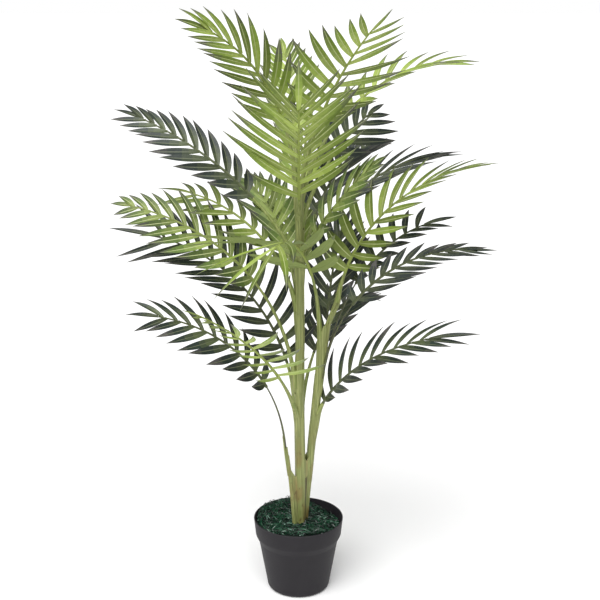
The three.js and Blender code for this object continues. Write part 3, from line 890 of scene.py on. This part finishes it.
def leaf_base(course, settings, phase):
    """The sleeve of one frond, which runs up its stalk and dips behind it"""
    frond = course.frond
    stem = STEMS[frond["stem"]]
    scale = mix(THIN_SCALE, 1, frond["thick"] / THICK_STALK)
    at = frond["at"]
    low = max(at - settings.sheath / MM * scale, stem["foot"][2] + 1)
    along = np.linspace(0, min(SLEEVE_REACH, frond["stalk"]), SLEEVE_MARKS)
    spots = course.at(along)[0] / MM
    axis, _ = stem_axis(stem, spots[:, 2])
    out = np.sum((spots - axis) * course.outward, axis=-1)
    ridge = stalk_radius(frond, along) + SLEEVE_SLACK

    def beside(height):
        share = np.clip((height - low) / (at - low), 0, 1)
        below = out[0] * (1 - LEAN * (1 - share) ** LEAN_BEND)
        away = np.where(height < at, below, np.interp(height, spots[:, 2], out))
        above = np.interp(height, spots[:, 2], ridge)
        wide = np.where(height < at, mix(RIDGE_FOOT, ridge[0], share), above)
        return course.outward * away[..., None], wide

    def rim(angles):
        share = (1 + np.cos(angles)) / 2
        climb = settings.rise * share ** RIM_NARROWNESS - settings.dip * (1 - share)
        return at + climb / MM * scale + RAGGED * ripple(angles, RAGS, 0.5, phase)

    return sleeve_rings(stem, low, rim, beside, settings.groove / MM, phase)


# Old leaf bases that have lost their frond: the stem, the height of the rim, the direction of
# its highest point, how far it rises, and how ragged it is, in millimetres and degrees.
OLD_BASES = (
    ("trunk", 196, 320, 26, 2), ("trunk", 262, 250, 34, 2), ("trunk", 318, 20, 30, 2),
    ("stem_middle", 455, 300, 26, 2), ("stem_middle", 520, 240, 24, 2),
    ("stem_middle", 596, 330, 24, 2), ("stem_right", 250, 250, 26, 2),
    ("stem_right", 330, 200, 30, 3), ("stem_right", 455, 300, 26, 3),
    ("stem_right", 505, 330, 22, 5),
)
OLD_SCALE = 0.6
OLD_RAGS = (5, 13)


def old_base(stem, height, turn, rise, ragged, settings):
    outward = polar(1, math.radians(turn))

    def rim(angles):
        torn = ragged * ripple(angles, OLD_RAGS, 0.6, height)
        return height + rise * smooth(0, 1, (1 + np.cos(angles)) / 2) + torn

    def beside(heights):
        return np.broadcast_to(outward, (*heights.shape, 3)), np.zeros_like(heights)

    low = max(height - settings.sheath / MM * OLD_SCALE, stem["foot"][2] + 1)
    return sleeve_rings(stem, low, rim, beside, settings.groove / MM, height)


# Leaf bases that hold a neighbour to the trunk: the neighbour, the height of the rim and how
# deep it is notched between the two, in millimetres.
CLASPS = (("stem_right", 276, 18), ("shoot_left", 246, 22))
CLASP_FOOT = 108
CLASP_PART = 12
CLASP_STEPS = 30
CLASP_SKIN = 0.4
CLASP_TURNED = 0.3
CLASP_HOLLOW = 3
CLASP_TILT = 3
CLASP_RAGGED = 1.2
CLASP_RAGS = 7

# The share of the way between the two that takes painted shade in the groove, and the share of
# its height where that painted shade is darkest; above it the groove takes the rim's colour
GROOVE_SHADE = 0.7
DARKEST_SHADE = 0.72


def clasp(neighbour, height, notch, settings):
    """A leaf base round the trunk and a neighbour, hollow and notched between the two, and the
    look of each of its faces, with painted shade in the groove between the two"""
    part = np.arange(CLASP_PART) / CLASP_PART
    near = np.concatenate([part * 0 + 1, 1 - part, part * 0, part])
    turn = np.concatenate([part - 0.5, part * 0 + 0.5, part + 0.5, part * 0 + 1.5]) * math.pi
    between = 1 - np.abs(2 * near - 1)
    edge = height - notch * between + CLASP_TILT * np.sin(turn)
    edge = edge + CLASP_RAGGED * np.sin(CLASP_RAGS * turn - height)
    share = np.linspace(0, 1, CLASP_STEPS)[:, None]
    heights = np.concatenate([mix(CLASP_FOOT, edge, share), [edge, edge - SLEEVE_TURN]])
    skin = np.concatenate([np.full(CLASP_STEPS, CLASP_SKIN), [0, -CLASP_TURNED]])[:, None]
    axis, radius = stem_axis(STEMS["trunk"], heights)
    beside, wide = stem_axis(STEMS[neighbour], heights)
    normal = level_ways(unit(beside - axis), turn)
    fine = settings.groove / MM * np.sin(SLEEVE_GROOVES[0] * turn + height) * (between == 0)
    reach = mix(radius, wide, near) + skin + fine - CLASP_HOLLOW * np.sin(between * math.pi / 2)
    ring = np.arange(CLASP_STEPS + 1)[:, None]
    # Painted shade in the groove between trunk and neighbour: rim colour high up, darkest below
    looks = (between > GROOVE_SHADE) * np.where(ring > DARKEST_SHADE * CLASP_STEPS, 1, 2)
    looks[-2:] = 1
    rings = mix(axis, beside, near[:, None]) + normal * reach[..., None]
    return rings[None] * MM, looks


class PALM_OT_stalks(bpy.types.Operator):
    """Draw the stalks out of the stems and wrap both in leaf bases"""
    bl_idname = "palm.stalks"
    bl_label = "Stalks and leaf bases"

    def execute(self, context):
        settings = context.scene.palm_stems
        stalks, sheaths = Pile(), Pile()
        looks = np.repeat([0, 1], [SLEEVE_STEPS - 1, 2])[:, None]
        for phase, course in enumerate(all_courses().values()):
            stalks.tubes(stalk_rings(course), int(course.frond["thick"] == THIN_STALK))
            sheaths.tubes(leaf_base(course, settings, phase), looks, capped=False)
        for name, *values in OLD_BASES:
            sheaths.tubes(old_base(STEMS[name], *values, settings), looks, capped=False)
        for values in CLASPS:
            sheaths.tubes(*clasp(*values, settings), capped=False)
        fresh = mixed(settings.green, context.scene.palm_leaves.light, 0.5)
        finishes = self.finishes(settings, fresh)
        stalks.piece("stalks", finishes[:2], "stalk", [f"stalk_{name}" for name in FRONDS])
        sheaths.piece("sheaths", finishes[2:], "stem")
        return {"FINISHED"}

    def finishes(self, settings, fresh):
        """Those of thick and thin stalks, then of the skin and rim of a leaf base, and the painted
        shade in the groove where one clasps two stems
        """
        green, pale, brown, wire = settings.green, settings.pale, settings.brown, settings.wire
        return [bark_finish(name, settings, *values) for name, *values in (
            ("stalk_bark", fresh, pale, 0.25),
            ("stalk_wire", wire, mixed(wire, fresh, 0.4), 0.2),
            ("sheath_bark", green, pale, 0.7),
            ("sheath_edge", mixed(pale, brown, 0.5), pale, 1),
            # Green and brown darkened towards black: painted shade in that groove
            ("sheath_crease", mixed(green, BLACK, 0.6), mixed(brown, BLACK, 0.5), 0.5),
        )]


# Leaflets

LEAFLET_STEPS = 14
STEP_BEND = 0.9

# Corners across a leaflet, as shares of half its width, with the midrib and a vein beside it
MIDRIB = 0.09
VEIN = 0.5
ABOVE = np.array([-1, -0.74, -VEIN, -0.27, -MIDRIB, 0, MIDRIB, 0.27, VEIN, 0.74, 1])
BELOW = np.array([0.55, 0.1, 0, -0.1, -0.55])
RIDGE = 0.6 * MM
VEIN_RIDGE = 0.24 * MM

# Its outline: where it is widest, how full it is before and after, and its tip
WIDEST = 0.46
ROOT_BEND = 1.2
TIP_BEND = 2.3
TIP_POINT = 1.15
TIP_WIDTH = 0.012

# How leaflets differ: spread, lift and twist, length, and where their tints change
SPREAD_JITTER = math.radians(2)
LIFT_JITTER = math.radians(4)
TWIST_JITTER = 0.4
TWIST_OF_HAND = 0.8
LENGTH_JITTER = 0.03
BAND_JITTER = 0.06

# Tints differ by leaflet, partly as random tone and partly as painted light and shade, and
# bands of colour along one come later at its edge.
TINT_AND_LIGHT_SCALES = (0.72, 1, 1.32)
TINTS = len(TINT_AND_LIGHT_SCALES)
BANDS = 6
BAND_BEND = 1.7
BAND_SLANT = 0.05
UNDER_TIP = 0.9

# Finish of each kind of frond: its roughness, and the shares of pale colours that are mixed into
# its roots, undersides, midribs and ribs
GREEN = dict(rough=0.5, fresh=0.26, under=0.35, midrib=0.55, rib=0.35)
TONES = {
    "light": GREEN,
    "olive": GREEN,
    "dark": dict(rough=0.42, fresh=0.08, under=0.4, midrib=0.15, rib=0.16),
}
PALE_ROOT = linear(200, 212, 120)
PALE_UNDER = linear(150, 156, 112)
PALE_MIDRIB = linear(222, 228, 172)
PALE_RIB = linear(176, 182, 104)


def leaflet_shape(along, root):
    """Share of the full width at shares of the length: a narrow root and a drawn-out tip."""
    opening = np.sin(np.clip(along / WIDEST, 0, 1) * math.pi / 2) ** ROOT_BEND
    fading = np.clip((along - WIDEST) / (1 - WIDEST), 0, 1)
    return mix(root, 1, opening) * (1 - fading ** TIP_BEND) ** TIP_POINT + TIP_WIDTH


def leaflet_rings(course, settings, rng):
    """Every leaflet of a frond as a thin closed body, and the look of each of its faces."""
    frond = course.frond
    pairs = round(frond["blade"] * MM / settings.spacing)
    pair = np.arange(pairs)
    share = np.concatenate([*((pair + part) / pairs for part in OF_PAIR), [1]])
    hand = np.repeat([-1, 1, 0], [pairs, pairs, 1])
    count = len(share)
    spots, along, side, up = course.at(frond["stalk"] + share * frond["blade"])
    jitter = rng.normal(0, 1, (4, count))
    spread = np.radians(frond["spread"] - frond["closing"] * share) + SPREAD_JITTER * jitter[0]
    spread = spread * np.abs(hand)
    lift = np.radians(frond["lift"] * (1 - LIFT_LOSS * share)) + LIFT_JITTER * jitter[1]
    sign = np.where(hand == 0, 1, hand)
    outward = side * (np.cos(lift) * sign)[:, None] + up * np.sin(lift)[:, None]
    heading = along * np.cos(spread)[:, None] + outward * np.sin(spread)[:, None]
    growth = np.minimum(1, frond["first"] + LEAFLET_GROWTH * share)
    fading = 1 - frond["fading"] * np.clip(share - FULL_UNTIL, 0, 1) / (1 - FULL_UNTIL)
    handed = np.where(hand < 0, frond["left"], 1)
    length = frond["leaflet"] * MM * handed * growth * fading * (1 + LENGTH_JITTER * jitter[2])
    onward = along * LEAFLET_FORWARD - np.array([0, 0, LEAFLET_SAG])
    half = settings.width / 2 * (1 - TIP_NARROWING * share) * np.where(hand < 0, *frond["girth"])
    t = np.linspace(0, 1, LEAFLET_STEPS + 1) ** STEP_BEND
    reach = (t * length[:, None])[..., None]
    middle = spots[:, None] + heading[:, None] * reach + onward[:, None] * reach * (t / 2)[:, None]
    _, above = cross_frame(heading, up)
    tangent = unit(heading[:, None] + onward[:, None] * t[:, None])
    across, above = cross_frame(tangent, above[:, None])
    twist = settings.twist * (TWIST_JITTER * jitter[3] - TWIST_OF_HAND * sign)[:, None] * t
    turn_cos, turn_sin = np.cos(twist)[..., None], np.sin(twist)[..., None]
    across, above = across * turn_cos + above * turn_sin, above * turn_cos - across * turn_sin
    width = half[:, None] * leaflet_shape(t, settings.root)
    columns = np.concatenate([ABOVE, BELOW])
    under = np.arange(len(columns)) >= len(ABOVE)
    fold = math.tan(settings.fold) * np.abs(columns) * width[..., None]
    ridge = RIDGE * (columns == 0) + VEIN_RIDGE * (np.abs(columns) == VEIN)
    ridge = np.where(under, -ridge, ridge) * (1 - t[:, None])
    rise = fold + ridge - settings.thickness * under
    rings = (middle[:, :, None] + across[:, :, None] * (columns * width[..., None])[..., None]
             + above[:, :, None] * rise[..., None])
    return rings, leaflet_looks(count, t, columns, frond["tints"], rng)


def leaflet_looks(count, t, columns, tints, rng):
    """Material index of each face: tint by leaflet, band by length, midrib and underside."""
    # A leaflet's darker or lighter tint copy is partly random tone and partly painted shade and light
    tint = rng.choice(TINTS, count, p=tints)[:, None, None]
    beside = np.roll(columns, -1)
    centre = (columns + beside) / 2
    reached = (t[:-1] + t[1:])[:, None] / 2 + BAND_JITTER * rng.normal(0, 1, (count, 1, 1))
    reached = reached + BAND_SLANT * np.abs(centre)
    band = np.clip(np.floor(np.clip(reached, 0, 1) ** BAND_BEND * BANDS), 0, BANDS - 1)
    looks = tint * BANDS + band.astype(int)
    side = np.arange(len(columns))
    midrib = (np.abs(centre) < MIDRIB) & (side < len(ABOVE) - 1)
    under = side >= len(ABOVE) - 1
    looks = np.where(midrib, TINTS * BANDS, looks)
    return np.where(under, TINTS * BANDS + 1 + (reached > UNDER_TIP), looks)


def leaf_palette(tone, settings):
    """The finishes of one kind of frond: bands of each tint, then midrib and undersides."""
    middle, look = getattr(settings, tone), TONES[tone]
    fresh, deep = mixed(middle, PALE_ROOT, look["fresh"]), mixed(middle, BLACK, 0.28)
    tip = mixed(settings.tip, middle, 0.15)
    bands = (fresh, mixed(fresh, middle, 0.5), middle, mixed(middle, deep, 0.5),
             mixed(deep, tip, 0.4), tip)
    finishes = []
    for tint, scale in enumerate(TINT_AND_LIGHT_SCALES):
        for band, colour in enumerate(bands):
            # Darker and lighter copies of each colour: partly random tone, partly painted shade and
            # light
            shade = tuple(min(1, value * scale) for value in colour)
            finishes.append(fabric_finish(f"leaf_{tone}_{tint}_{band}", shade, look["rough"]))
    under = mixed(middle, PALE_UNDER, look["under"])
    extras = {"midrib": mixed(middle, PALE_MIDRIB, look["midrib"]),
              "under": under, "under_tip": mixed(under, tip, 0.6)}
    for word, colour in extras.items():
        finishes.append(fabric_finish(f"leaf_{tone}_{word}", colour, look["rough"] + 0.1))
    return finishes


def rib_rings(course):
    frond = course.frond
    share = np.linspace(0, 1, RIB_STEPS)
    spots, _, side, up = course.at(frond["stalk"] + share * frond["blade"])
    radius = mix(RIB_FOOT_RADIUS, RIB_TIP_RADIUS, share)
    return rod_rings(spots, side, up, radius, RIB_SIDES, RIB_GROOVE)


class PALM_OT_leaflets(bpy.types.Operator):
    """Set the folded fabric leaflets on their ribs, in one piece for each kind of frond"""
    bl_idname = "palm.leaflets"
    bl_label = "Leaflets"

    def execute(self, context):
        settings = context.scene.palm_leaves
        courses = all_courses()
        rng = np.random.default_rng(11)
        for tone, look in TONES.items():
            names = [name for name in courses if courses[name].frond["tone"] == tone]
            blades, ribs = Pile(), Pile()
            for name in names:
                blades.tubes(*leaflet_rings(courses[name], settings, rng))
                ribs.tubes(rib_rings(courses[name]), 0)
            blades.piece(f"leaflets_{tone}", leaf_palette(tone, settings), f"leaf_{tone}",
                         [f"blade_{name}" for name in names], sharp=50)
            colour = mixed(getattr(settings, tone), PALE_RIB, look["rib"])
            ribs.piece(f"ribs_{tone}", [fabric_finish(f"rib_{tone}", colour, 0.45)], "stalk")
        return {"FINISHED"}


# The stage

FLOOR_REACH = 400
KEY_SOFTNESS = math.radians(55)
KEY_TILT = (math.radians(32), math.radians(-14), 0)


class PALM_OT_stage(bpy.types.Operator):
    """Set the floor, the soft lights and the camera"""
    bl_idname = "palm.stage"
    bl_label = "Stage"

    def execute(self, context):
        settings = context.scene.palm_stage
        self.floor(settings)
        self.lights(context.scene, settings)
        self.camera(context.scene, settings)
        context.scene.view_settings.view_transform = "Standard"
        return {"FINISHED"}

    def floor(self, settings):
        corners = [(x * FLOOR_REACH, y * FLOOR_REACH, 0) for x, y in CORNERS]
        mesh = bpy.data.meshes.new("floor")
        mesh.from_pydata(corners, [], [(0, 1, 2, 3)])
        finish = Finish("floor", Roughness=0.9)
        cloud = finish.noise(0.7, detail=1)
        paler = tuple(min(1, value * 1.02) for value in settings.floor)
        finish.feed("Base Color", finish.blend(cloud, settings.floor, paler))
        mesh.materials.append(finish.material)
        placed("floor", mesh)

    def lights(self, scene, settings):
        key = bpy.data.lights.new("key", "SUN")
        key.energy = settings.key
        key.angle = KEY_SOFTNESS
        placed("key", key).rotation_euler = KEY_TILT
        world = bpy.data.worlds.new("studio")
        world.use_nodes = True
        graph = Graph(world.node_tree)
        seen = graph.node("ShaderNodeLightPath", output="Is Camera Ray")
        strength = seen + (1 - seen) * settings.fill
        graph.put(graph.tree.nodes["Background"], {"Color": (1, 1, 1), "Strength": strength})
        scene.world = world

    def camera(self, scene, settings):
        lens = bpy.data.cameras.new("camera")
        lens.sensor_fit = "HORIZONTAL"
        lens.angle = settings.view
        camera = placed("camera", lens)
        camera.location = settings.camera
        camera.rotation_euler = (math.pi / 2 - settings.pitch, 0, 0)
        scene.camera = camera


# The sidebar

OPERATORS = (PALM_OT_pot, PALM_OT_moss, PALM_OT_stems, PALM_OT_stalks, PALM_OT_leaflets,
             PALM_OT_stage)
SETTINGS = {"palm_pot": PotSettings, "palm_moss": MossSettings, "palm_stems": StemSettings,
            "palm_leaves": LeafSettings, "palm_stage": StageSettings}


class PALM_PT_panel(bpy.types.Panel):
    """Lists the palm's pieces and their settings"""
    bl_idname = "PALM_PT_panel"
    bl_label = "Potted areca palm"
    bl_space_type = "VIEW_3D"
    bl_region_type = "UI"
    bl_category = "Palm"

    def draw(self, context):
        for operator in OPERATORS:
            self.layout.operator(operator.bl_idname)
        for key, group in SETTINGS.items():
            box = self.layout.box()
            for name in group.__annotations__:
                box.prop(getattr(context.scene, key), name)


CLASSES = (*SETTINGS.values(), *OPERATORS, PALM_PT_panel)


def register():
    for group in CLASSES:
        bpy.utils.register_class(group)
    for key, group in SETTINGS.items():
        setattr(bpy.types.Scene, key, PointerProperty(type=group))


def unregister():
    for key in SETTINGS:
        delattr(bpy.types.Scene, key)
    for group in reversed(CLASSES):
        bpy.utils.unregister_class(group)


def main():
    register()
    for operator in OPERATORS:
        getattr(bpy.ops.palm, operator.bl_idname.removeprefix("palm."))()


if __name__ == "__main__":
    main()
